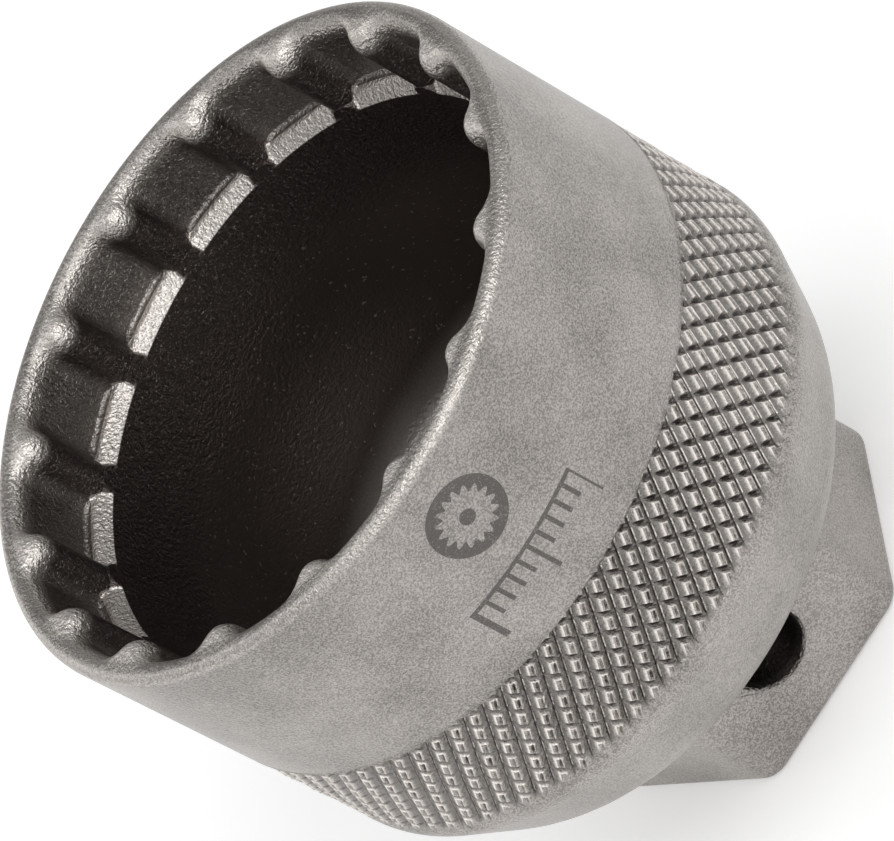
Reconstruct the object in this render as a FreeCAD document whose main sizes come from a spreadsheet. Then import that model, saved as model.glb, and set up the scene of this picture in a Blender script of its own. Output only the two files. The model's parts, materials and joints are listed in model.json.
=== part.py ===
"""Splined cup socket for external bearing cups, made in one piece of steel.

Frame: origin at the centre of the drive-end face, +Z along the tool's axis out of the toothed mouth,
-Y through the middle of the hex flat that the cross hole enters.
"""
import FreeCAD, Part
import math
import os

import Sketcher

doc = FreeCAD.newDocument("cup_socket")
sheet = doc.addObject("Spreadsheet::Sheet", "dims")

# Driving dimensions in millimetres, and angles in degrees.
DIMENSIONS = {
    "overall_length": 47.3,
    "outer_radius": 24.0,
    "rim_round": 0.8,           # outside edge of the mouth
    "mouth_edge_round": 0.9,    # inside edge of the mouth, around the teeth
    "tooth_count": 16,
    "tooth_depth": 6.5,         # length of the teeth along the axis
    "root_radius": 22.2,        # wall between the teeth: a 44 mm cup with clearance
    "tooth_tip_radius": 20.55,  # crown of a tooth, measured from the axis
    "tooth_crown": 1.4,         # radius of the rounded crown
    "tooth_flank_angle": 30.0,  # each flank from the tooth's middle line
    "tooth_foot_round": 1.2,    # fillet between a flank and the wall
    "step_chamfer": 0.9,        # bevel of the step behind the teeth, towards the bore
    "bore_radius": 20.5,
    "bore_depth": 33.0,         # from the mouth to the floor
    "floor_round": 6.5,
    "knurl_start": 15.9,        # distance from the mouth
    "knurl_line_width": 0.3,    # fine turned line where the knurling begins
    "knurl_line_depth": 0.05,
    "shoulder_start": 27.2,     # distance from the mouth
    "shoulder_angle": 25.4,     # cone from the tool's axis
    "shoulder_blend": 2.3,
    "shoulder_round": 8.0,
    "hex_flats": 25.4,
    "hex_length": 10.7,
    "hex_corner_round": 2.0,
    "hex_end_round": 0.9,
    "square_size": 12.8,        # takes a 12.7 mm (half-inch) square drive
    "square_corner_round": 0.8,
    "square_lead_in": 0.7,
    "cross_hole_radius": 2.85,
    "cross_hole_height": 7.3,   # from the drive end
    "cross_hole_edge": 0.25,
}
for row, (alias, number) in enumerate(DIMENSIONS.items(), start=1):
    sheet.set(f"A{row}", alias)
    sheet.set(f"B{row}", str(number))
    sheet.setAlias(f"B{row}", alias)
doc.recompute()

OVERLAP = 1.0       # how far a pad or a cut runs on past the surface it meets
NEAR = 1e-4         # tolerance for finding an edge by its place


def value(formula):
    """The number that a formula of sheet cells gives."""
    return float(sheet.evalExpression(formula))


def plane(body, role):
    return next(item for item in body.Origin.OriginFeatures if item.Role == role)


def new_sketch(body, name, role):
    sketch = body.newObject("Sketcher::SketchObject", name)
    sketch.AttachmentSupport = (plane(body, role), [""])
    sketch.MapMode = "FlatFace"
    return sketch


def bind(sketch, constraint, formula):
    index = sketch.addConstraint(constraint)
    sketch.setExpression(f"Constraints[{index}]", formula)


def bind_point(sketch, line, end, across, along):
    """Ties one end of a line to sketch coordinates given as formulas; None keeps it on that axis."""
    if across is None:
        sketch.addConstraint(Sketcher.Constraint("PointOnObject", line, end, -2))
    else:
        bind(sketch, Sketcher.Constraint("DistanceX", -1, 1, line, end, value(across)), across)
    if along is None:
        sketch.addConstraint(Sketcher.Constraint("PointOnObject", line, end, -1))
    else:
        bind(sketch, Sketcher.Constraint("DistanceY", -1, 1, line, end, value(along)), along)


def polygon(sketch, corners):
    """A closed outline whose corners are (across, along) formulas of the sheet's cells."""
    places = [FreeCAD.Vector(value(a) if a else 0, value(b) if b else 0, 0) for a, b in corners]
    lines = [sketch.addGeometry(Part.LineSegment(start, end), False)
             for start, end in zip(places, places[1:] + places[:1])]
    for line, following in zip(lines, lines[1:] + lines[:1]):
        sketch.addConstraint(Sketcher.Constraint("Coincident", line, 2, following, 1))
    for line, (across, along) in zip(lines, corners):
        bind_point(sketch, line, 1, across, along)
    return lines


def circular_edges(feature, radius, height):
    """Names of the feature's full or part circles about the tool's axis at one radius and height."""
    names = []
    for number, edge in enumerate(feature.Shape.Edges, start=1):
        curve = edge.Curve
        if not isinstance(curve, Part.Circle) or abs(curve.Radius - radius) > NEAR:
            continue
        if abs(curve.Center.z - height) < NEAR and math.hypot(curve.Center.x, curve.Center.y) < NEAR:
            names.append(f"Edge{number}")
    return names


def upright_edges(feature, radius, low, high):
    """Names of the straight edges along Z that stand at one radius between two heights."""
    names = []
    for number, edge in enumerate(feature.Shape.Edges, start=1):
        ends = [vertex.Point for vertex in edge.Vertexes]
        if len(ends) != 2 or math.hypot(ends[0].x - ends[1].x, ends[0].y - ends[1].y) > NEAR:
            continue
        middle = (ends[0] + ends[1]) / 2
        if abs(math.hypot(middle.x, middle.y) - radius) < NEAR and low < middle.z < high:
            names.append(f"Edge{number}")
    return names


def level_edges(feature, height, within):
    """Names of the edges that lie level at one height, inside one radius."""
    names = []
    for number, edge in enumerate(feature.Shape.Edges, start=1):
        places = edge.discretize(3)
        level = all(abs(place.z - height) < NEAR for place in places)
        if level and all(math.hypot(place.x, place.y) < within for place in places):
            names.append(f"Edge{number}")
    return names


def soften(body, kind, name, base, edges, size):
    """Adds a fillet or chamfer of a sheet size to the named edges."""
    if not edges:
        raise RuntimeError(f"{name} found no edges")
    feature = body.newObject(f"PartDesign::{kind}", name)
    feature.Base = (base, edges)
    feature.setExpression("Radius" if kind == "Fillet" else "Size", size)
    doc.recompute()
    return feature


def expect_change(before, after, grows):
    """Stops if a feature that should add or cut material didn't."""
    change = after.Shape.Volume - before.Shape.Volume
    if (change > 0) != grows or abs(change) < NEAR:
        raise RuntimeError(f"{after.Name} changed the volume by {change:.4f} mm3")


# ---- hexagonal drive end --------------------------------------------------------------------------
body = doc.addObject("PartDesign::Body", "socket_body")
body.Label = "socket_body"

hex_sketch = new_sketch(body, "hex_section", "XY_Plane")
HEX_CORNERS = [(math.cos(math.radians(60 * step)), math.sin(math.radians(60 * step))) for step in range(6)]
polygon(hex_sketch, [
    (f"dims.hex_flats / 2 / cos(30 deg) * {across:.6f}" if abs(across) > NEAR else None,
     f"dims.hex_flats / 2 / cos(30 deg) * {along:.6f}" if abs(along) > NEAR else None)
    for across, along in HEX_CORNERS])
hexagon = body.newObject("PartDesign::Pad", "hex_end")
hexagon.Profile = hex_sketch
hexagon.setExpression("Length", f"dims.hex_length + {OVERLAP}")
doc.recompute()

hex_corners = soften(body, "Fillet", "hex_corner_rounds", hexagon,
                     upright_edges(hexagon, value("dims.hex_flats / 2 / cos(30 deg)"), 0,
                                   value("dims.hex_length")),
                     "dims.hex_corner_round")
hex_end = soften(body, "Fillet", "hex_end_round", hex_corners,
                 level_edges(hex_corners, 0, value("dims.hex_flats")),
                 "dims.hex_end_round")

# ---- the turned cup: sleeve, knurled band, shoulder and bore -------------------------------------
MOUTH = "dims.overall_length"
LINE_FLOOR = "dims.outer_radius - dims.knurl_line_depth"
LINE_TOP = f"{MOUTH} - dims.knurl_start + dims.knurl_line_width"
SHOULDER = f"{MOUTH} - dims.shoulder_start"
BACK_RADIUS = ("dims.outer_radius - (dims.overall_length - dims.shoulder_start - dims.hex_length)"
               " * tan(dims.shoulder_angle * 1 deg)")
cup_sketch = new_sketch(body, "cup_section", "XZ_Plane")
polygon(cup_sketch, [
    (None, "dims.hex_length"),
    (BACK_RADIUS, "dims.hex_length"),
    ("dims.outer_radius", SHOULDER),
    ("dims.outer_radius", f"{MOUTH} - dims.knurl_start"),
    (LINE_FLOOR, f"{MOUTH} - dims.knurl_start"),
    (LINE_FLOOR, LINE_TOP),
    ("dims.outer_radius", LINE_TOP),
    ("dims.outer_radius", MOUTH),
    ("dims.root_radius", MOUTH),
    ("dims.root_radius", f"{MOUTH} - dims.tooth_depth"),
    ("dims.bore_radius + dims.step_chamfer", f"{MOUTH} - dims.tooth_depth"),
    ("dims.bore_radius", f"{MOUTH} - dims.tooth_depth - dims.step_chamfer"),
    ("dims.bore_radius", f"{MOUTH} - dims.bore_depth"),
    (None, f"{MOUTH} - dims.bore_depth"),
])
cup = body.newObject("PartDesign::Revolution", "turned_cup")
cup.Profile = cup_sketch
cup.ReferenceAxis = (cup_sketch, ["V_Axis"])
cup.Angle = 360.0
doc.recompute()
expect_change(hex_end, cup, grows=True)

shoulder_blend = soften(body, "Fillet", "shoulder_blend", cup,
                        circular_edges(cup, value("dims.outer_radius"), value(SHOULDER)),
                        "dims.shoulder_blend")
shoulder_round = soften(body, "Fillet", "shoulder_round", shoulder_blend,
                        circular_edges(shoulder_blend, value(BACK_RADIUS), value("dims.hex_length")),
                        "dims.shoulder_round")
floor_round = soften(body, "Fillet", "floor_round", shoulder_round,
                     circular_edges(shoulder_round, value("dims.bore_radius"),
                                    value(f"{MOUTH} - dims.bore_depth")),
                     "dims.floor_round")

# ---- square drive hole, right through to the bore's floor ----------------------------------------
square_sketch = new_sketch(body, "square_section", "XY_Plane")
polygon(square_sketch, [(f"{across} * dims.square_size / 2", f"{along} * dims.square_size / 2")
                        for across, along in ((1, 1), (-1, 1), (-1, -1), (1, -1))])
square = body.newObject("PartDesign::Pocket", "square_drive")
square.Profile = square_sketch
square.Reversed = True
square.setExpression("Length", f"dims.overall_length - dims.bore_depth + {OVERLAP}")
doc.recompute()
expect_change(floor_round, square, grows=False)

square_corners = soften(body, "Fillet", "square_corner_rounds", square,
                        upright_edges(square, value("dims.square_size / 2 * sqrt(2)"), 0,
                                      value("dims.overall_length - dims.bore_depth")),
                        "dims.square_corner_round")
square_lead_in = soften(body, "Chamfer", "square_lead_in", square_corners,
                        level_edges(square_corners, 0, value("dims.square_size / 2 * sqrt(2)")),
                        "dims.square_lead_in")

# ---- cross hole for the drive's detent, through two opposite flats -------------------------------
hole_sketch = new_sketch(body, "cross_hole_section", "XZ_Plane")
hole_place = FreeCAD.Vector(0, value("dims.cross_hole_height"), 0)
hole_circle = hole_sketch.addGeometry(
    Part.Circle(hole_place, FreeCAD.Vector(0, 0, 1), value("dims.cross_hole_radius")), False)
bind_point(hole_sketch, hole_circle, 3, None, "dims.cross_hole_height")
bind(hole_sketch, Sketcher.Constraint("Radius", hole_circle, value("dims.cross_hole_radius")),
     "dims.cross_hole_radius")
cross_hole = body.newObject("PartDesign::Pocket", "cross_hole")
cross_hole.Profile = hole_sketch
cross_hole.Midplane = True
cross_hole.setExpression("Length", f"dims.hex_flats + 2 * {OVERLAP}")
doc.recompute()
expect_change(square_lead_in, cross_hole, grows=False)

hole_rims = [f"Edge{number}" for number, edge in enumerate(cross_hole.Shape.Edges, start=1)
             if isinstance(edge.Curve, Part.Circle)
             and abs(edge.Curve.Radius - value("dims.cross_hole_radius")) < NEAR
             and abs(abs(edge.Curve.Center.y) - value("dims.hex_flats / 2")) < NEAR]
hole_edges = soften(body, "Chamfer", "cross_hole_edges", cross_hole, hole_rims, "dims.cross_hole_edge")

# ---- teeth around the mouth ----------------------------------------------------------------------
tooth_sketch = new_sketch(body, "tooth_section", "XY_Plane")
tooth_sketch.setExpression("AttachmentOffset.Base.z", f"{MOUTH} - dims.tooth_depth - dims.step_chamfer")
CROWN_CENTRE = "dims.tooth_tip_radius + dims.tooth_crown"
TOOTH_BACK = "(dims.root_radius + dims.outer_radius) / 2"
centre_x = value(CROWN_CENTRE)
crown = value("dims.tooth_crown")
back_x = value(TOOTH_BACK)
flank = math.radians(value("dims.tooth_flank_angle"))
shoulder_x = centre_x - crown * math.sin(flank)
shoulder_y = crown * math.cos(flank)
back_y = shoulder_y + (back_x - shoulder_x) * math.tan(flank)
crown_arc = tooth_sketch.addGeometry(
    Part.ArcOfCircle(Part.Circle(FreeCAD.Vector(centre_x, 0, 0), FreeCAD.Vector(0, 0, 1), crown),
                     math.pi / 2 + flank, math.pi * 3 / 2 - flank), False)
lower_flank = tooth_sketch.addGeometry(Part.LineSegment(FreeCAD.Vector(shoulder_x, -shoulder_y, 0),
                                                        FreeCAD.Vector(back_x, -back_y, 0)), False)
back = tooth_sketch.addGeometry(Part.LineSegment(FreeCAD.Vector(back_x, -back_y, 0),
                                                 FreeCAD.Vector(back_x, back_y, 0)), False)
upper_flank = tooth_sketch.addGeometry(Part.LineSegment(FreeCAD.Vector(back_x, back_y, 0),
                                                        FreeCAD.Vector(shoulder_x, shoulder_y, 0)), False)
tooth_sketch.addConstraint(Sketcher.Constraint("PointOnObject", crown_arc, 3, -1))
bind(tooth_sketch, Sketcher.Constraint("DistanceX", -1, 1, crown_arc, 3, centre_x), CROWN_CENTRE)
bind(tooth_sketch, Sketcher.Constraint("Radius", crown_arc, crown), "dims.tooth_crown")
tooth_sketch.addConstraint(Sketcher.Constraint("Tangent", crown_arc, 2, lower_flank, 1))
tooth_sketch.addConstraint(Sketcher.Constraint("Tangent", crown_arc, 1, upper_flank, 2))
tooth_sketch.addConstraint(Sketcher.Constraint("Coincident", lower_flank, 2, back, 1))
tooth_sketch.addConstraint(Sketcher.Constraint("Coincident", back, 2, upper_flank, 1))
bind(tooth_sketch, Sketcher.Constraint("DistanceX", -1, 1, back, 1, back_x), TOOTH_BACK)
bind(tooth_sketch, Sketcher.Constraint("Angle", lower_flank, -flank), "-dims.tooth_flank_angle * 1 deg")
tooth_sketch.addConstraint(Sketcher.Constraint("Symmetric", back, 1, back, 2, -1))

tooth = body.newObject("PartDesign::Pad", "tooth")
tooth.Profile = tooth_sketch
tooth.setExpression("Length", "dims.tooth_depth + dims.step_chamfer")
doc.recompute()
expect_change(hole_edges, tooth, grows=True)

teeth = body.newObject("PartDesign::PolarPattern", "teeth")
teeth.Originals = [tooth]
teeth.Axis = (plane(body, "Z_Axis"), [""])
teeth.Angle = 360.0
teeth.setExpression("Occurrences", "dims.tooth_count")
body.Tip = teeth
doc.recompute()
expect_change(tooth, teeth, grows=True)

FOOT_LOW = "dims.overall_length - dims.tooth_depth"
tooth_feet = soften(body, "Fillet", "tooth_foot_rounds", teeth,
                    upright_edges(teeth, value("dims.root_radius"), value(FOOT_LOW), value(MOUTH)),
                    "dims.tooth_foot_round")
mouth_edge = soften(body, "Fillet", "mouth_edge_round", tooth_feet,
                    level_edges(tooth_feet, value(MOUTH), value(TOOTH_BACK)),
                    "dims.mouth_edge_round")
rim = soften(body, "Fillet", "rim_round", mouth_edge,
             circular_edges(mouth_edge, value("dims.outer_radius"), value(MOUTH)),
             "dims.rim_round")
body.Tip = rim
doc.recompute()

# ---- checks and export ----------------------------------------------------------------------------
for item in doc.Objects:
    if "Invalid" in item.State or "Error" in item.State:
        raise RuntimeError(f"{item.Name} failed: {item.State}")

os.makedirs("parts", exist_ok=True)
for piece in [body]:
    shape = piece.Shape
    if shape.isNull() or not shape.isValid() or len(shape.Solids) != 1:
        raise RuntimeError(f"{piece.Label} has no valid solid")
    shape.exportStep(f"parts/{piece.Label}.step")
    box = shape.optimalBoundingBox(False, False)
    print(f"{piece.Label}: {shape.Volume:.1f} mm3, {box.XLength:.2f} x {box.YLength:.2f} x {box.ZLength:.2f} mm,"
          f" z {box.ZMin:.2f} to {box.ZMax:.2f}, {len(shape.Faces)} faces")
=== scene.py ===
"""The looks of a splined cup socket: a blasted and plated steel body, its cut knurl and an etched mark.

The body is built in millimetres as rings of points around the tool's axis, from the drive end up the
outside, over the toothed rim and down the bore, and is turned into metres as it becomes a mesh.
"""
import json
import math
import random

import bmesh
import bpy
from mathutils import Matrix, Vector, noise


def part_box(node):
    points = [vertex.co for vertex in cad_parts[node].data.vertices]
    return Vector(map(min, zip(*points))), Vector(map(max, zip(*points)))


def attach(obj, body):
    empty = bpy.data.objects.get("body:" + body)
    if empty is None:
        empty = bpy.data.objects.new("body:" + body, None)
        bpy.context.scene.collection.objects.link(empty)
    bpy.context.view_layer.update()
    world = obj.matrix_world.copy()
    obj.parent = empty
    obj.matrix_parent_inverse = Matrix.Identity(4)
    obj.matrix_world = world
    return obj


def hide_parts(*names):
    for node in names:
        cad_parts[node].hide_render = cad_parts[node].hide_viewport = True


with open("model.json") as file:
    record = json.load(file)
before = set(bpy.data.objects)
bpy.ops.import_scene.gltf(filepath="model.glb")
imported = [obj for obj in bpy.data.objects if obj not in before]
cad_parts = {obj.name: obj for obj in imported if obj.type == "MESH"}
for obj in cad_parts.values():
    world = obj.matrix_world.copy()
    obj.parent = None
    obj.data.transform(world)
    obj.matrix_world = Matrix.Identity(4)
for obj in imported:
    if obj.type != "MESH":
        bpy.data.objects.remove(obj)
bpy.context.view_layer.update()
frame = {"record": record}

MM = 0.001
random.seed(7)

# ---- sizes in millimetres: the main ones come from the frame ---------------------------------------
low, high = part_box("socket_body")
mounts = {mount["name"]: mount for mount in frame["record"]["mounts"]}
LENGTH = round((high.z - low.z) / MM, 2)
OUTER = round((high.x - low.x) / 2 / MM, 2)
BORE = mounts["cup_bore"]["dims"]["r_mm"]
HOLE = mounts["cross_hole"]["dims"]["r_mm"]
HOLE_HEIGHT = mounts["cross_hole"]["pos_m"][2] / MM
HALF_FLATS = abs(mounts["hex_flats"]["pos_m"][1]) / MM

RIM_ROUND = 0.8
MOUTH_ROUND = 0.9           # inside edge of the rim and of the teeth's ends
MOUTH_DROP = 1.25           # how far down that rounding reaches: blasting has worn the ends into domes
TEETH = 16
TOOTH_DEPTH = 6.5
ROOT = 22.2                 # wall between the teeth
CROWN_TIP = BORE + 0.05
CROWN = 1.4                 # radius of a tooth's crown
FLANK = math.radians(30)    # a tooth's flank from its middle line
TOOTH_WEAR = 0.35           # how much further the rounding goes at a tooth's end
FOOT_ROUND = 1.4
STEP_FILLET = 0.35          # where a pocket's wall meets the step behind the teeth
FILLET_FADE = 0.5           # where the step's level part is narrower than this, the fillet is smaller
FILLET_LEAST = 0.06         # its smallest share of the full fillet
STEP_EDGE = 0.9             # the bevel of the step's inner edge
BEVEL_SOFT = 0.12           # how far the bevel's outer corner is softened each way
BEVEL_END = 0.97            # where it runs out beside a crown: cosine of the turn times the teeth
BEVEL_FADE = 0.4            # how far that cosine falls until the bevel has its full depth
STEP = LENGTH - TOOTH_DEPTH
BORE_DEPTH = 33.0
FLOOR_HEIGHT = LENGTH - BORE_DEPTH
FLOOR_ROUND = 6.5

KNURL_LOW = LENGTH - 26.9
KNURL_HIGH = LENGTH - 15.9
GROOVES = 86                # in each of the two hands
GRID = 8                    # mesh lines per groove
KNURL_ROWS = 70             # mesh rows along the band, an even number
KNURL_DEPTH = 0.5
LINE_DEPTH = 0.04           # fine turned line at the band's end
LINE_WIDTH = 0.3

SHOULDER = LENGTH - 27.2    # where the cone would meet the sleeve's cylinder
CONE = math.radians(25.4)
SHOULDER_BLEND = 2.3
SHOULDER_ROUND = 8.0
HEX_LENGTH = 10.7
HEX_CORNER = 2.0
HEX_END = 0.9
HEX_FOOT = 0.15             # fillet between the hexagon and the face behind it
SQUARE = 12.8
SQUARE_CORNER = 0.8
SQUARE_LEAD = 0.7
HOLE_EDGE = 0.25
HOLE_LIP = 0.07             # burr that stands around the hole's edge
BURR_REACH = 0.08           # how far the burr spreads past the edge
BURR_WAVES = 2.5            # how quickly its height changes on the way round

RING = GROOVES * GRID       # points in every round ring outside
HEX_ARC = 8                 # steps round a corner of the hexagon
HEX_FLAT = 24               # steps along a flat
SQUARE_ARC = 5
SQUARE_FLAT = 16
HOLE_STEPS = 64
SHARP_ANGLE = math.radians(38)  # edges that bend more than this are shaded as sharp


# ---- a closed skin made of rings -------------------------------------------------------------------
class Skin:
    def __init__(self):
        self.points = []
        self.faces = []
        # What the finish needs to know about the knurl, each 0 to 1 and by a point's index: how deep the
        # point lies in a groove, how much painted highlight its edge gets, and how much painted shadow
        # lies there.
        self.marks = {"groove": {}, "worn": {}, "dirt": {}}

    def ring(self, points):
        first = len(self.points)
        self.points.extend(points)
        return list(range(first, len(self.points)))

    def join(self, one, other):
        """Quads between two rings of as many points."""
        count = len(one)
        for here in range(count):
            after = (here + 1) % count
            self.faces.append((one[here], one[after], other[after], other[here]))

    def chain(self, rings):
        for one, other in zip(rings, rings[1:]):
            self.join(one, other)

    def lace(self, one, other, turn):
        """Triangles between two rings of any counts; turn gives a point's angle about their centre."""
        def in_order(ring):
            return sorted((turn(self.points[index]) % math.tau, index) for index in ring)
        inner, outer = in_order(one), in_order(other)
        at, on = 0, 0
        while at < len(inner) or on < len(outer):
            here, there = inner[at % len(inner)][1], outer[on % len(outer)][1]
            next_in = inner[(at + 1) % len(inner)][0] + (math.tau if at + 1 >= len(inner) else 0)
            next_out = outer[(on + 1) % len(outer)][0] + (math.tau if on + 1 >= len(outer) else 0)
            if on >= len(outer) or (at < len(inner) and next_in <= next_out):
                self.faces.append((here, inner[(at + 1) % len(inner)][1], there))
                at += 1
            else:
                self.faces.append((here, outer[(on + 1) % len(outer)][1], there))
                on += 1


def about_axis(point):
    return math.atan2(point[1], point[0])


def polar(radius, turn, height):
    return radius * math.cos(turn), radius * math.sin(turn), height


def heading(turn):
    return Vector((math.cos(turn), math.sin(turn)))


def circle(radius, height):
    return [polar(radius, math.tau * step / RING, height) for step in range(RING)]


def arc(centre_r, centre_z, radius, start, end, steps):
    """(radius, height) places along an arc of the profile, angles in degrees."""
    turns = [math.radians(start + (end - start) * step / steps) for step in range(steps + 1)]
    return [(centre_r + radius * math.cos(turn), centre_z + radius * math.sin(turn)) for turn in turns]


def smooth(share):
    share = min(max(share, 0.0), 1.0)
    return share * share * (3 - 2 * share)


# ---- the hexagon and the square --------------------------------------------------------------------
def prism_outline(sides, half_flats, corner, arc_steps, flat_steps):
    """A rounded regular polygon, counter-clockwise, and the range of indexes that lies on each flat.
    The first flat faces -Y."""
    outline, flats = [], []
    for side in range(sides):
        normal = -math.pi / 2 + math.tau * side / sides
        half_turn = math.pi / sides
        half_length = (half_flats - corner) * math.tan(half_turn)
        across = heading(normal)
        along = Vector((-across.y, across.x))
        flats.append(range(len(outline), len(outline) + flat_steps + 1))
        for step in range(flat_steps + 1):
            outline.append(across * half_flats + along * half_length * (2 * step / flat_steps - 1))
        centre = across * (half_flats - corner) + along * half_length
        for step in range(1, arc_steps):
            turn = normal + 2 * half_turn * step / arc_steps
            outline.append(centre + heading(turn) * corner)
    return outline, flats


def hexagon(grow=0.0):
    return prism_outline(6, HALF_FLATS + grow, HEX_CORNER + grow, HEX_ARC, HEX_FLAT)


def square(grow=0.0):
    return prism_outline(4, SQUARE / 2 + grow, SQUARE_CORNER + grow, SQUARE_ARC, SQUARE_FLAT)


def level_ring(skin, outline, height):
    return skin.ring([(point.x, point.y, height) for point in outline])


def wall_with_holes(skin, lower, upper, flats, holes):
    """Side of a prism between two rings, where each holed flat is laced to its hole's ring."""
    holed = {step for flat in holes for step in flats[flat][:-1]}
    count = len(lower)
    for here in range(count):
        if here not in holed:
            after = (here + 1) % count
            skin.faces.append((lower[here], lower[after], upper[after], upper[here]))
    for flat, hole in holes.items():
        edge = [lower[step] for step in flats[flat]] + [upper[step] for step in flats[flat]]
        skin.lace(hole, edge, lambda point: math.atan2(point[2] - HOLE_HEIGHT, point[0]))


def hole_ring(skin, radius, y, lift=0.0):
    """A ring about the cross hole; lift raises it unevenly, as a burr stands."""
    points = []
    for step in range(HOLE_STEPS):
        turn = math.tau * step / HOLE_STEPS
        side, up = math.cos(turn), math.sin(turn)
        burr = lift * (1 + noise.noise(Vector((side, up, y)) * BURR_WAVES))
        points.append((radius * side, y + burr, HOLE_HEIGHT + radius * up))
    return skin.ring(points)


def cross_holes(skin):
    """The cross hole's two stretches: {side: (ring on the hexagon's flat, ring on the square's wall)}."""
    rings = {}
    for side in (-1, 1):
        mouth = hole_ring(skin, HOLE + HOLE_EDGE + BURR_REACH, side * HALF_FLATS)
        lip = hole_ring(skin, HOLE + HOLE_EDGE * 0.7, side * HALF_FLATS, side * HOLE_LIP)
        rounded = hole_ring(skin, HOLE + HOLE_EDGE * 0.2, side * (HALF_FLATS - HOLE_EDGE * 0.3))
        inside = hole_ring(skin, HOLE, side * (HALF_FLATS - HOLE_EDGE))
        end = hole_ring(skin, HOLE, side * SQUARE / 2)
        skin.chain([mouth, lip, rounded, inside, end])
        rings[side] = (mouth, end)
    return rings


def drive_end(skin, holes):
    """Square hole, end face and hexagon; returns the square's top ring and the hexagon's top ring."""
    steps = 5
    turns = [math.radians(90 * step / steps) for step in range(steps + 1)]
    rounds = [level_ring(skin, hexagon(-HEX_END * (1 - math.sin(turn)))[0],
                         HEX_END * (1 - math.cos(turn))) for turn in turns]
    skin.chain(rounds)
    foot = [level_ring(skin, hexagon(HEX_FOOT * (1 - math.cos(turn)))[0],
                       HEX_LENGTH - HEX_FOOT * (1 - math.sin(turn))) for turn in turns]
    skin.chain(foot)
    wall_with_holes(skin, rounds[-1], foot[0], hexagon()[1], {0: holes[-1][0], 3: holes[1][0]})

    outline, flats = square()
    lead = [level_ring(skin, square(SQUARE_LEAD)[0], 0), level_ring(skin, outline, SQUARE_LEAD)]
    skin.chain(lead)
    top = level_ring(skin, outline, FLOOR_HEIGHT)
    wall_with_holes(skin, lead[-1], top, flats, {0: holes[-1][1], 2: holes[1][1]})
    skin.lace(lead[0], rounds[0], about_axis)
    return top, foot[-1]


# ---- the outside: shoulder, knurl, sleeve and rim --------------------------------------------------
def shoulder(skin, hex_top):
    """From the hexagon's foot to the knurl's lower edge; returns the last ring."""
    back = OUTER - (SHOULDER - HEX_LENGTH) * math.tan(CONE)
    flat_end = back - SHOULDER_ROUND * math.tan((math.pi / 2 - CONE) / 2)
    profile = arc(flat_end, HEX_LENGTH + SHOULDER_ROUND, SHOULDER_ROUND, -90, -math.degrees(CONE), 14)
    blend_centre = SHOULDER + SHOULDER_BLEND * math.tan(CONE / 2)
    cone_top = arc(OUTER - SHOULDER_BLEND, blend_centre, SHOULDER_BLEND, -math.degrees(CONE), 0, 4)
    start, end = profile[-1], cone_top[0]
    profile += [(start[0] + (end[0] - start[0]) * share, start[1] + (end[1] - start[1]) * share)
                for share in (0.25, 0.5, 0.75)]
    profile += [place for place in cone_top if place[1] < KNURL_LOW - 0.05]
    rings = [skin.ring(circle(radius, height)) for radius, height in profile]
    skin.chain(rings)
    skin.lace(hex_top, rings[0], about_axis)
    return rings[-1]


def blank_radius(height):
    """Radius of the turned blank where the knurl is cut."""
    centre = SHOULDER + SHOULDER_BLEND * math.tan(CONE / 2)
    if height >= centre:
        return OUTER
    return OUTER - SHOULDER_BLEND + math.sqrt(SHOULDER_BLEND ** 2 - (centre - height) ** 2)


# Mesh lines across one groove, as shares of its spacing, and what is found on each of them: how high the
# metal stands, how much painted highlight its edge gets and how much painted shadow lies there. The main
# hand cuts deepest, and its crests carry a slot. The second hand's grooves are shallower and steeper.
MAIN_LINES = (0.0, 0.06, 0.14, 0.40, 0.52, 0.60, 0.68, 0.95)
MAIN_HEIGHTS = (0.0, 0.18, 0.3, 0.95, 1.0, 1.0, 0.97, 0.1)
MAIN_HIGHLIGHT = (0.0, 1.0, 0.0, 0.95, 0.0, 0.0, 0.8, 0.0)
CROSS_LINES = (0.0, 0.06, 0.2, 0.34, 0.5, 0.66, 0.82, 0.95)
CROSS_HEIGHTS = (0.15, 0.22, 0.92, 1.0, 1.0, 1.0, 0.94, 0.22)
CROSS_HIGHLIGHT = (0.0, 0.0, 0.0, 0.0, 0.0, 0.0, 0.9, 0.0)
CROSS_SHADOW = (1.0, 1.0, 0.0, 0.0, 0.0, 0.0, 0.0, 0.7)
CROSS_CREST = range(2, 7)   # the second hand's lines outside its groove
CREST_HEIGHT = 0.9          # the main hand's crest is the metal above this
CREST_DENT = 0.05           # how much lower the crests stand on average, each by its own amount
# How deep the slot in a crest is, by its lines on the two hands.
SLOT = {(5, 3): 0.42, (5, 4): 0.46, (5, 5): 0.42, (5, 2): 0.08, (5, 6): 0.08}

EVEN_ROWS = 5               # within as many rows of the band's ends the mesh lines become evenly spaced
RUN_OUT = (1.7, 0.5)        # length over which the grooves fade out at the lower end, and how it varies
ENTRY = (0.55, 0.3)         # the same at the upper end
END_WAVES = 9               # how quickly both lengths change on the way round


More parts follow.
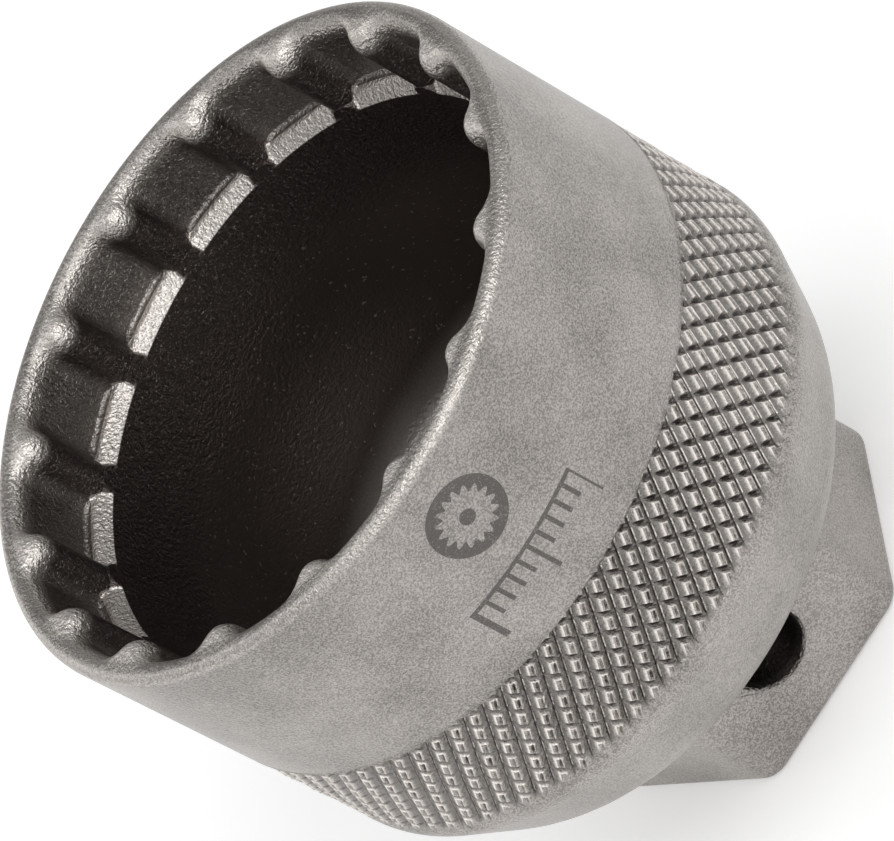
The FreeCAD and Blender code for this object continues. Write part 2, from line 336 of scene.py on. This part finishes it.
def knurl(skin):
    """The knurled band: rows of points on the two hands' lattice. Returns its lowest and highest ring."""
    row_step = (KNURL_HIGH - KNURL_LOW) / KNURL_ROWS
    crests = {}
    rows = []
    for row in range(KNURL_ROWS + 1):
        odd = row % 2
        warp = smooth(min(row, KNURL_ROWS - row) / EVEN_ROWS)
        first_point = len(skin.points)
        points = []
        for column in range(RING):
            second = column + (odd + row) // 2
            first = column + (odd - row) // 2
            main_cell, main_line = divmod(first, GRID)
            cross_cell, cross_line = divmod(second, GRID)
            main = first / GRID + warp * (main_cell + MAIN_LINES[main_line] - first / GRID)
            cross = second / GRID + warp * (cross_cell + CROSS_LINES[cross_line] - second / GRID)
            turn = math.tau * (main + cross) / 2 / GROOVES
            height = KNURL_LOW + (cross - main) * GRID * row_step
            dent, slot_depth = crests.setdefault((main_cell % GROOVES, cross_cell - main_cell),
                                                 (random.uniform(-1, 1), random.uniform(0.45, 1.0)))
            metal = min(MAIN_HEIGHTS[main_line], CROSS_HEIGHTS[cross_line])
            metal -= SLOT.get((main_line, cross_line), 0) * slot_depth
            metal -= CREST_DENT * (1 + dent) * smooth(metal)
            wander = noise.noise(Vector((math.cos(turn), math.sin(turn), 0.3)) * END_WAVES)
            run_out = smooth((height - KNURL_LOW) / (RUN_OUT[0] + RUN_OUT[1] * wander))
            entry = smooth((KNURL_HIGH - height) / (ENTRY[0] + ENTRY[1] * wander))
            depth = (1 - metal) * run_out * entry
            points.append(polar(blank_radius(height) - KNURL_DEPTH * depth, turn, height))

            # Painted light for the finish: a highlight along the crests' edges, and a shadow in the main
            # grooves' bottoms and under the second hand's steep walls. Both fade out with the grooves at
            # the band's ends.
            main_highlight = MAIN_HIGHLIGHT[main_line] if cross_line in CROSS_CREST else 0
            cross_highlight = CROSS_HIGHLIGHT[cross_line] if MAIN_HEIGHTS[main_line] > CREST_HEIGHT else 0
            dirt = 1 if main_line == 0 else CROSS_SHADOW[cross_line] * MAIN_HEIGHTS[main_line]
            here = first_point + column
            skin.marks["groove"][here] = depth
            skin.marks["worn"][here] = max(main_highlight, cross_highlight) * run_out * entry
            skin.marks["dirt"][here] = dirt * run_out * entry
        rows.append(skin.ring(points))
    knurl_faces(skin, rows)
    return rows[0], rows[-1]


def knurl_faces(skin, rows):
    """Triangles between the lattice's points, split along each crest's and groove's own direction."""
    def place(first, second):
        row = second - first
        return rows[row][(second - (row % 2 + row) // 2) % RING]

    for row in range(KNURL_ROWS + 1):
        for column in range(RING):
            second = column + (row % 2 + row) // 2
            first = second - row
            left, right = place(first, second), place(first + 1, second + 1)
            above = place(first, second + 1) if row < KNURL_ROWS else None
            below = place(first + 1, second) if row > 0 else None
            same_half = (first % GRID < GRID // 2) == (second % GRID < GRID // 2)
            if above is None:
                skin.faces.append((left, below, right))
            elif below is None:
                skin.faces.append((left, right, above))
            elif same_half:
                skin.faces.append((left, below, right))
                skin.faces.append((left, right, above))
            else:
                skin.faces.append((left, below, above))
                skin.faces.append((below, right, above))


def sleeve(skin, knurl_top):
    """The turned line, the plain sleeve and the rim's outer round; returns the last ring."""
    floor = OUTER - LINE_DEPTH
    profile = [(floor, KNURL_HIGH + 0.06), (floor, KNURL_HIGH + LINE_WIDTH - 0.15),
               (OUTER - 0.01, KNURL_HIGH + LINE_WIDTH), (OUTER, KNURL_HIGH + LINE_WIDTH + 0.1)]
    start, end = KNURL_HIGH + LINE_WIDTH + 0.1, LENGTH - RIM_ROUND
    profile += [(OUTER, start + (end - start) * step / 6) for step in range(1, 6)]
    profile += arc(OUTER - RIM_ROUND, end, RIM_ROUND, 0, 90, 6)
    rings = [knurl_top] + [skin.ring(circle(radius, height)) for radius, height in profile]
    skin.chain(rings)
    return rings[-1]


# ---- the teeth -------------------------------------------------------------------------------------
def half_tooth():
    """(point, direction into the metal) pairs in one plane, from a crown's middle to the gap's middle."""
    centre = Vector((CROWN_TIP + CROWN, 0))
    places = []
    crown_turn = math.pi / 2 - FLANK
    for step in range(8):
        turn = crown_turn * step / 7
        away = Vector((-math.cos(turn), math.sin(turn)))
        places.append((centre + away * CROWN, -away))
    flank_normal = places[-1][1]
    flank_start = places[-1][0]
    along = heading(FLANK)
    # The foot's round touches the flank and the wall: its centre lies FOOT_ROUND inside both.
    inside = flank_start - flank_normal * FOOT_ROUND
    reach = ROOT - FOOT_ROUND
    travel = -inside.dot(along) + math.sqrt(inside.dot(along) ** 2 - inside.length_squared + reach ** 2)
    foot_centre = inside + along * travel
    flank_end = foot_centre + flank_normal * FOOT_ROUND
    for share in (1 / 3, 2 / 3):
        places.append((flank_start.lerp(flank_end, share), flank_normal))
    begin = math.atan2(flank_normal.y, flank_normal.x)
    finish = math.atan2(foot_centre.y, foot_centre.x)
    for step in range(5):
        away = heading(begin + (finish - begin) * step / 4)
        places.append((foot_centre + away * FOOT_ROUND, away))
    gap = math.pi / TEETH
    for step in (1, 2):
        away = heading(finish + (gap - finish) * step / 2)
        places.append((away * ROOT, away))
    return places


def mouth_outline():
    half = half_tooth()
    mirrored = [(Vector((point.x, -point.y)), Vector((into.x, -into.y))) for point, into in half[1:-1]]
    tooth = list(reversed(mirrored)) + half
    outline = []
    for number in range(TEETH):
        spin = Matrix.Rotation(math.tau * number / TEETH - math.pi / 2, 2)
        outline += [(spin @ point, spin @ into) for point, into in tooth]
    return outline


def step_height(radius, turn):
    """Height of the step behind the teeth: level, then bevelled towards the bore with a softened corner.
    Under a tooth's crown the bevel runs out."""
    below = BORE + STEP_EDGE - radius
    if below < BEVEL_SOFT:
        below = max(below + BEVEL_SOFT, 0) ** 2 / (4 * BEVEL_SOFT)
    return STEP - below * smooth((BEVEL_END - math.cos(TEETH * turn)) / BEVEL_FADE)


def mouth(skin, rim):
    """Rim flat, rounded mouth, teeth, pockets and the step behind them. Returns the bore's first ring and
    its points' angles about the axis."""
    outline = mouth_outline()
    # The teeth's ends are worn rounder than the rim between them.
    worn = [1 + TOOTH_WEAR * smooth((ROOT - point.length) / (ROOT - CROWN_TIP)) for point, _ in outline]
    steps = 8
    rings = []
    for step in range(steps + 1):
        turn = math.radians(90 * step / steps)
        points = []
        for (point, into), wear in zip(outline, worn):
            moved = point + into * MOUTH_ROUND * wear * (1 - math.sin(turn))
            points.append((moved.x, moved.y, LENGTH - MOUTH_DROP * wear * (1 - math.cos(turn))))
        rings.append(skin.ring(points))
    skin.lace(rings[0], rim, about_axis)

    # Every point of the outline goes straight down to the step, with a fillet where the step is level.
    fillets = []
    for point, _ in outline:
        level = point.length - BORE - STEP_EDGE
        fillets.append(STEP_FILLET * max(smooth(level / FILLET_FADE), FILLET_LEAST))
    feet = [point - into * fillet for (point, into), fillet in zip(outline, fillets)]
    angles = [math.atan2(foot.y, foot.x) for foot in feet]
    ends = [step_height(foot.length, turn) for foot, turn in zip(feet, angles)]
    tops = [LENGTH - MOUTH_DROP * wear for wear in worn]
    for share in (1 / 3, 2 / 3):
        rings.append(skin.ring([(point.x, point.y, top + (end + fillet - top) * share)
                                for (point, _), top, end, fillet in zip(outline, tops, ends, fillets)]))
    for step in range(5):
        turn = math.radians(90 * step / 4)
        points = []
        for (point, into), end, fillet in zip(outline, ends, fillets):
            moved = point - into * fillet * (1 - math.cos(turn))
            points.append((moved.x, moved.y, end + fillet * (1 - math.sin(turn))))
        rings.append(skin.ring(points))

    # Rings across the step: level first, then down its bevel.
    for share in (0.15, 0.34, 0.43, 0.48, 0.53, 0.6, 0.75, 0.9, 1.0):
        radii = [foot.length + (BORE - foot.length) * share for foot in feet]
        rings.append(skin.ring([polar(radius, turn, step_height(radius, turn))
                                for radius, turn in zip(radii, angles)]))
    skin.chain(rings)
    return rings[-1], angles


def bore(skin, bore_top, angles, square_top):
    """Plain bore, the round into its floor and the floor around the square hole."""
    top = STEP - STEP_EDGE
    profile = [(BORE, top - 3), (BORE, top - 9), (BORE, FLOOR_HEIGHT + FLOOR_ROUND + 5)]
    profile += arc(BORE - FLOOR_ROUND, FLOOR_HEIGHT + FLOOR_ROUND, FLOOR_ROUND, 0, -90, 12)
    rings = [bore_top]
    for radius, height in profile:
        rings.append(skin.ring([polar(radius, turn, height) for turn in angles]))
    skin.chain(rings)
    skin.lace(square_top, rings[-1], about_axis)


def socket_mesh():
    skin = Skin()
    holes = cross_holes(skin)
    square_top, hex_top = drive_end(skin, holes)
    shoulder_top = shoulder(skin, hex_top)
    knurl_low, knurl_high = knurl(skin)
    skin.join(shoulder_top, knurl_low)
    rim = sleeve(skin, knurl_high)
    bore_top, angles = mouth(skin, rim)
    bore(skin, bore_top, angles, square_top)

    mesh = bpy.data.meshes.new("socket_body_surface")
    mesh.from_pydata([Vector(point) * MM for point in skin.points], [], skin.faces)
    work = bmesh.new()
    work.from_mesh(mesh)
    bmesh.ops.recalc_face_normals(work, faces=work.faces)
    open_edges = sum(1 for edge in work.edges if len(edge.link_faces) != 2)
    if open_edges:
        print("open edges:", open_edges)
    work.to_mesh(mesh)
    work.free()
    for name, marked in skin.marks.items():
        values = [marked.get(index, 0.0) for index in range(len(mesh.vertices))]
        mesh.attributes.new(name, "FLOAT", "POINT").data.foreach_set("value", values)
    mesh.polygons.foreach_set("use_smooth", [True] * len(mesh.polygons))
    mesh.set_sharp_from_angle(angle=SHARP_ANGLE)
    mesh.update()
    return mesh


body = bpy.data.objects.new("socket_body_finished", socket_mesh())
bpy.context.scene.collection.objects.link(body)
weighting = body.modifiers.new("weighted_normals", "WEIGHTED_NORMAL")
weighting.keep_sharp = True
weighting.weight = 50


# ---- the finish ------------------------------------------------------------------------------------
STEEL = (0.355, 0.332, 0.312)       # blasted nickel plating, a little warm
BORE_STEEL = (0.130, 0.110, 0.103)  # darker steel inside the mouth, the bore and the holes
GROOVE_SHADE = (0.10, 0.09, 0.084)  # painted shadow at the bottom of the knurl's grooves and under their steep walls
ETCH = (0.08, 0.074, 0.07)
ETCH_COVER = 0.8
PER_MM = 1 / MM

# Grains: size in millimetres, octaves of detail, roughness.
BLASTED = (0.13, 1.5, 0.6)
PITTED = (0.3, 1.5, 0.55)
BLOTCHED = (7.0, 3.0, 0.55)
SPARKLE_GRAIN = (0.3, 1.0, 0.5)
GLINTING = (0.17, 1.0, 0.5)


class Field:
    """A number that varies over the surface: arithmetic on it adds math nodes to the material."""

    def __init__(self, tree, socket):
        self.tree = tree
        self.socket = socket

    def math(self, operation, *others):
        node = self.tree.nodes.new("ShaderNodeMath")
        node.operation = operation
        for slot, value in zip(node.inputs, (self, *others)):
            if isinstance(value, Field):
                self.tree.links.new(value.socket, slot)
            else:
                slot.default_value = value
        return Field(self.tree, node.outputs[0])

    def __add__(self, other):
        return self.math("ADD", other)

    def __sub__(self, other):
        return self.math("SUBTRACT", other)

    def __mul__(self, other):
        return self.math("MULTIPLY", other)

    def __lt__(self, other):
        return self.math("LESS_THAN", other)

    def __gt__(self, other):
        return self.math("GREATER_THAN", other)

    def between(self, start, end):
        """0 below start, 1 above end, and a smooth climb in between; 1 below and 0 above where start is
        the higher one."""
        node = self.tree.nodes.new("ShaderNodeMapRange")
        node.interpolation_type = "SMOOTHSTEP"
        self.tree.links.new(self.socket, node.inputs["Value"])
        node.inputs["From Min"].default_value = min(start, end)
        node.inputs["From Max"].default_value = max(start, end)
        node.inputs["To Min"].default_value = 0.0 if start < end else 1.0
        node.inputs["To Max"].default_value = 1.0 if start < end else 0.0
        return Field(self.tree, node.outputs["Result"])


class Place:
    """Where a point of the surface lies, in millimetres with z along the axis, and what is found there."""

    def __init__(self, tree):
        self.tree = tree
        self.vector = tree.nodes.new("ShaderNodeTexCoord").outputs["Object"]
        split = tree.nodes.new("ShaderNodeSeparateXYZ")
        tree.links.new(self.vector, split.inputs[0])
        self.x, self.y, self.z = (Field(tree, split.outputs[axis]) * PER_MM for axis in "XYZ")
        self.radius = (self.x * self.x + self.y * self.y).math("SQRT")

    def grain(self, size, detail, roughness):
        """Noise whose features are about as large as size; its values lie about 0.5."""
        node = self.tree.nodes.new("ShaderNodeTexNoise")
        node.inputs["Scale"].default_value = PER_MM / size
        node.inputs["Detail"].default_value = detail
        node.inputs["Roughness"].default_value = roughness
        self.tree.links.new(self.vector, node.inputs["Vector"])
        return Field(self.tree, node.outputs["Fac"])

    def mark(self, name):
        """One of the numbers that the mesh carries at its points."""
        node = self.tree.nodes.new("ShaderNodeAttribute")
        node.attribute_name = name
        return Field(self.tree, node.outputs["Fac"])


def shade(colour, factor):
    return tuple(min(channel * factor, 1.0) for channel in colour)


def tint(tree, share, one, other):
    """Colour that goes from one to the other by a share; each is a colour or another tint's socket."""
    node = tree.nodes.new("ShaderNodeMix")
    node.data_type = "RGBA"
    tree.links.new(share.socket, node.inputs["Factor"])
    # The node has sockets of the same names for every type: 6 and 7 in and 2 out are the colours.
    for slot, colour in ((node.inputs[6], one), (node.inputs[7], other)):
        if isinstance(colour, tuple):
            slot.default_value = (*colour, 1)
        else:
            tree.links.new(colour, slot)
    return node.outputs[2]


MARK_CENTRE = 5.4           # below the mouth
MARK_RING = 2.9
MARK_INNER = MARK_RING * 0.68
MARK_DOT = MARK_RING * 0.2
MARK_NOTCH = 0.26
SCALE_TOP = 10.2            # below the mouth
SCALE_HALF = 5.5
SCALE_STEP = 1.1
SCALE_TICK = 0.32           # width of a line
SCALE_SHORT = 1.9
SCALE_TALL = 3.3            # every fifth line


def etched_mark(around, below):
    """A generic mark: the socket seen from its mouth, and a graduated scale. Both are in millimetres:
    around is measured along the sleeve from the mark's middle, below from the mouth."""
    down = below - MARK_CENTRE
    distance = (around * around + down * down).math("SQRT")
    notches = (down.math("ARCTAN2", around) * TEETH).math("COSINE")
    ring = (distance < MARK_RING) * (distance > notches * MARK_NOTCH + MARK_INNER)
    dot = distance < MARK_DOT
    along = around + SCALE_HALF
    tick = along.math("MODULO", SCALE_STEP) < SCALE_TICK
    tall = along.math("MODULO", SCALE_STEP * 5) < SCALE_TICK
    from_top = below - SCALE_TOP
    in_scale = (around.math("ABSOLUTE") < SCALE_HALF + SCALE_TICK / 2) * (from_top > 0)
    ticks = in_scale * (tick * (from_top < SCALE_SHORT) + tall * (from_top < SCALE_TALL))
    rule = in_scale * (from_top < SCALE_TICK)
    return (ring + dot + ticks + rule).math("MINIMUM", 1.0)


def bevel_area(place):
    """The step's bevel, up to where it runs out beside the crowns."""
    edge = BORE + STEP_EDGE
    foot, top = STEP - STEP_EDGE, STEP
    level = place.z.between(foot - 0.1, foot + 0.1) * place.z.between(top + 0.4, top + 0.2)
    slope = (place.radius - place.z).between(edge - STEP - 0.22, edge - STEP - 0.1)
    beside = (place.y.math("ARCTAN2", place.x) * TEETH).math("COSINE")
    return level * slope * (place.radius < edge + 0.3) * beside.between(0.9, 0.62)


def darker_inside_area(place, bevel):
    """The darker steel of the mouth's inside and the bore, of the cross hole and of the square hole."""
    inside = place.radius.between(BORE + 1.9, BORE + 0.9) * place.z.between(LENGTH - 0.8, LENGTH - 2.2)
    inside = inside * place.z.between(FLOOR_HEIGHT + 1.5, FLOOR_HEIGHT + 6.5) * (bevel * -1.0 + 1.0)
    across, deep = place.x.math("ABSOLUTE"), place.y.math("ABSOLUTE")
    in_hole = (across < HOLE + 0.1) * deep.between(HALF_FLATS - 0.2, HALF_FLATS - 1.2)
    in_hole = in_hole * (place.z < HEX_LENGTH)
    in_square = (across < SQUARE / 2 + 0.1) * (deep < SQUARE / 2 + 0.1) * place.z.between(0.5, 3.0)
    return inside.math("MAXIMUM", in_hole * 0.95).math("MAXIMUM", in_square * 0.8)


def painted_highlight_area(place, bevel):
    """Painted highlights where light catches the mouth: the rim's inside, its outer edge and the step's
    bevel.
    """
    rim_inside = place.z.between(LENGTH - 1.9, LENGTH - 1.1) * place.radius.between(ROOT + 0.6, ROOT)
    rim_edge = place.z.between(LENGTH - 0.8, LENGTH - 0.4) * place.radius.between(OUTER - 0.8, OUTER - 0.5)
    return rim_inside.math("MAXIMUM", bevel * 0.8).math("MAXIMUM", rim_edge * 0.6)


def blasted_steel():
    material = bpy.data.materials.new("blasted_nickel_steel")
    material.use_nodes = True
    tree = material.node_tree
    shader = tree.nodes["Principled BSDF"]
    shader.inputs["Metallic"].default_value = 1.0

    place = Place(tree)
    radius, z = place.radius, place.z
    fine = place.grain(*BLASTED)
    blotches = place.grain(*BLOTCHED)
    sandy = fine.between(0.36, 0.64)

    bevel = bevel_area(place)
    inside = darker_inside_area(place, bevel)
    painted_highlight = painted_highlight_area(place, bevel)
    in_bore = (radius < BORE + 0.1) * (z > FLOOR_HEIGHT - 0.2)
    # Painted glow: the bore's floor and the round into it are lighter, standing in for light that comes in
    # at the mouth.
    painted_floor_glow = in_bore * z.between(FLOOR_HEIGHT + 6.5, FLOOR_HEIGHT + 1.0)
    # Painted sparkle: small lighter spots on the dark inside stand in for glints of light off the pocket
    # walls.
    painted_sparkle = place.grain(*SPARKLE_GRAIN).between(0.7, 0.74) * inside
    glints = place.grain(*GLINTING).between(0.62, 0.72) * inside * z.between(STEP - 8.0, STEP - 1.0)
    knurled = z.between(KNURL_LOW - 0.2, KNURL_LOW + 1.5) * (z < KNURL_HIGH) * (radius > OUTER - 1.5)
    around = place.x.math("ARCTAN2", place.y * -1.0) * OUTER
    front = (radius > OUTER - 0.2) * (place.y < 0)
    etched = etched_mark(around, z * -1.0 + LENGTH) * front * fine.between(0.25, 0.5)

    # Each layer covers the ones before it by its share.
    mottle = sandy * 0.65 + blotches.between(0.3, 0.7) * 0.35
    colour = tint(tree, mottle, shade(STEEL, 0.58), shade(STEEL, 1.42))
    dark = tint(tree, sandy * z.between(STEP - 4.0, STEP), shade(BORE_STEEL, 0.7), shade(BORE_STEEL, 1.0))
    layers = (
        (inside, dark),
        # painted highlights on the rim's rounded edges, the teeth's ends and the step's bevel
        (painted_highlight * (sandy * 0.5 + 0.5), shade(STEEL, 2.1)),
        # painted sparkle and glints on the dark inside
        (painted_sparkle * 0.6, STEEL),
        (glints, shade(STEEL, 0.9)),
        # painted glow on the bore's floor
        (painted_floor_glow, shade(STEEL, 1.7)),
        # painted shade on the knurl's flanks, painted shadow in its grooves and painted highlights on its
        # crests' edges
        (knurled * place.mark("groove").between(0.3, 0.6) * 0.9, shade(STEEL, 0.62)),
        (knurled * place.mark("dirt").between(0.4, 0.9) * 0.95, shade(GROOVE_SHADE, 0.6)),
        (knurled * place.mark("worn").between(0.5, 0.95), shade(STEEL, 2.6)),
        (etched * ETCH_COVER, ETCH),
    )
    for share, cover in layers:
        colour = tint(tree, share, colour, cover)
    tree.links.new(colour, shader.inputs["Base Color"])

    rough = fine * 0.10 + blotches * 0.12 + 0.22 + inside * 0.04 + etched * 0.15
    tree.links.new(rough.socket, shader.inputs["Roughness"])

    # The blasting hardly reached the bore: its grain fades out behind the step.
    bore_wall = in_bore * z.between(STEP - 5.0, STEP - 11.0)
    height = (fine * 0.06 + place.grain(*PITTED) * 0.12) * (bore_wall * -0.85 + 1.0 + inside * 0.15)
    bump = tree.nodes.new("ShaderNodeBump")
    bump.inputs["Strength"].default_value = 1.0
    bump.inputs["Distance"].default_value = MM
    tree.links.new(height.socket, bump.inputs["Height"])
    tree.links.new(bump.outputs["Normal"], shader.inputs["Normal"])
    return material


body.data.materials.append(blasted_steel())
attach(body, "root")
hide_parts("socket_body")


# ---- floor, light and camera -----------------------------------------------------------------------
FLOOR_REACH = 3.0                   # metres from the middle to each edge
FLOOR_GAP = 0.0001                  # keeps the floor from touching the drive end's face
FLOOR_WHITE = 0.94
FLOOR_GLOW = 0.3                    # the floor is a light table, which glows around the object only
GLOW_MIDDLE = (-0.004, 0.040, 0.0)
GLOW_NEAR, GLOW_FAR = 0.07, 0.17    # metres from there: full glow up to the first, none past the second
WORLD_LIGHT = 0.42


def floor():
    mesh = bpy.data.meshes.new("floor")
    corners = [(x * FLOOR_REACH, y * FLOOR_REACH, 0) for x, y in ((-1, -1), (1, -1), (1, 1), (-1, 1))]
    mesh.from_pydata(corners, [], [(0, 1, 2, 3)])
    plane = bpy.data.objects.new("floor", mesh)
    plane.location.z = -FLOOR_GAP
    bpy.context.scene.collection.objects.link(plane)
    material = bpy.data.materials.new("pale_floor")
    material.use_nodes = True
    tree = material.node_tree
    shader = tree.nodes["Principled BSDF"]
    shader.inputs["Base Color"].default_value = (FLOOR_WHITE, FLOOR_WHITE, FLOOR_WHITE, 1)
    shader.inputs["Roughness"].default_value = 0.9
    place = tree.nodes.new("ShaderNodeTexCoord").outputs["Object"]
    away = tree.nodes.new("ShaderNodeVectorMath")
    away.operation = "DISTANCE"
    away.inputs[1].default_value = GLOW_MIDDLE
    tree.links.new(place, away.inputs[0])
    glow = Field(tree, away.outputs["Value"]).between(GLOW_FAR, GLOW_NEAR)
    tree.links.new(tint(tree, glow, (0, 0, 0), (1, 1, 1)), shader.inputs["Emission Color"])
    shader.inputs["Emission Strength"].default_value = FLOOR_GLOW
    plane.data.materials.append(material)


floor()
world = bpy.data.worlds.new("studio")
bpy.context.scene.world = world
world.use_nodes = True
backdrop = world.node_tree.nodes["Background"]
backdrop.inputs["Color"].default_value = (1, 1, 1, 1)
backdrop.inputs["Strength"].default_value = WORLD_LIGHT
bpy.context.scene.view_settings.view_transform = "Standard"

SOFTBOX_DISTANCE = 0.8
SOFTBOX_SIZE = 0.5
# Round softboxes: degrees about the axis from +X, degrees above the level of the socket's middle, watts.
SOFTBOXES = {
    "mouth_key": (-50, 52, 1.65),
    "front_key": (-65, 27, 0.50),
    "front_fill": (-117, 38, 0.50),
    "front_low": (-97, 11, 0.44),
    "overhead_front": (-85, 61, 0.60),
    "overhead_back": (138, 67, 0.80),
    "back_low": (125, 15, 0.60),
    "left_low": (178, 5, 0.85),
}


def softbox(name, azimuth, elevation, watts):
    light = bpy.data.lights.new(name, "AREA")
    light.shape = "DISK"
    light.size = SOFTBOX_SIZE
    light.energy = watts
    turn, rise = math.radians(azimuth), math.radians(elevation)
    way = Vector((math.cos(turn) * math.cos(rise), math.sin(turn) * math.cos(rise), math.sin(rise)))
    lamp = bpy.data.objects.new(name, light)
    lamp.location = way * SOFTBOX_DISTANCE + Vector((0, 0, LENGTH / 2 * MM))
    lamp.rotation_euler = way.to_track_quat("Z", "Y").to_euler()
    bpy.context.scene.collection.objects.link(lamp)


for name, (azimuth, elevation, watts) in SOFTBOXES.items():
    softbox(name, azimuth, elevation, watts)

CAMERA_AZIMUTH = math.radians(7.298)      # 0 looks along +Y
CAMERA_ELEVATION = math.radians(35.336)
CAMERA_ROLL = math.radians(-61.371)
CAMERA_DISTANCE = 0.46043
CAMERA_AIM = Vector((1.192, 3.124, 27.807)) * MM
CAMERA_LENS = 280.27

camera = bpy.data.objects.new("camera", bpy.data.cameras.new("camera"))
bpy.context.scene.collection.objects.link(camera)
camera.data.lens = CAMERA_LENS
camera.data.sensor_width = 36
camera.data.clip_start = 0.01
back = Vector((math.sin(CAMERA_AZIMUTH) * math.cos(CAMERA_ELEVATION),
               -math.cos(CAMERA_AZIMUTH) * math.cos(CAMERA_ELEVATION), math.sin(CAMERA_ELEVATION)))
upright = (-back).to_track_quat("-Z", "Y").to_matrix().to_4x4()
camera.matrix_world = (Matrix.Translation(CAMERA_AIM + back * CAMERA_DISTANCE) @ upright
                       @ Matrix.Rotation(CAMERA_ROLL, 4, "Z"))
bpy.context.scene.camera = camera
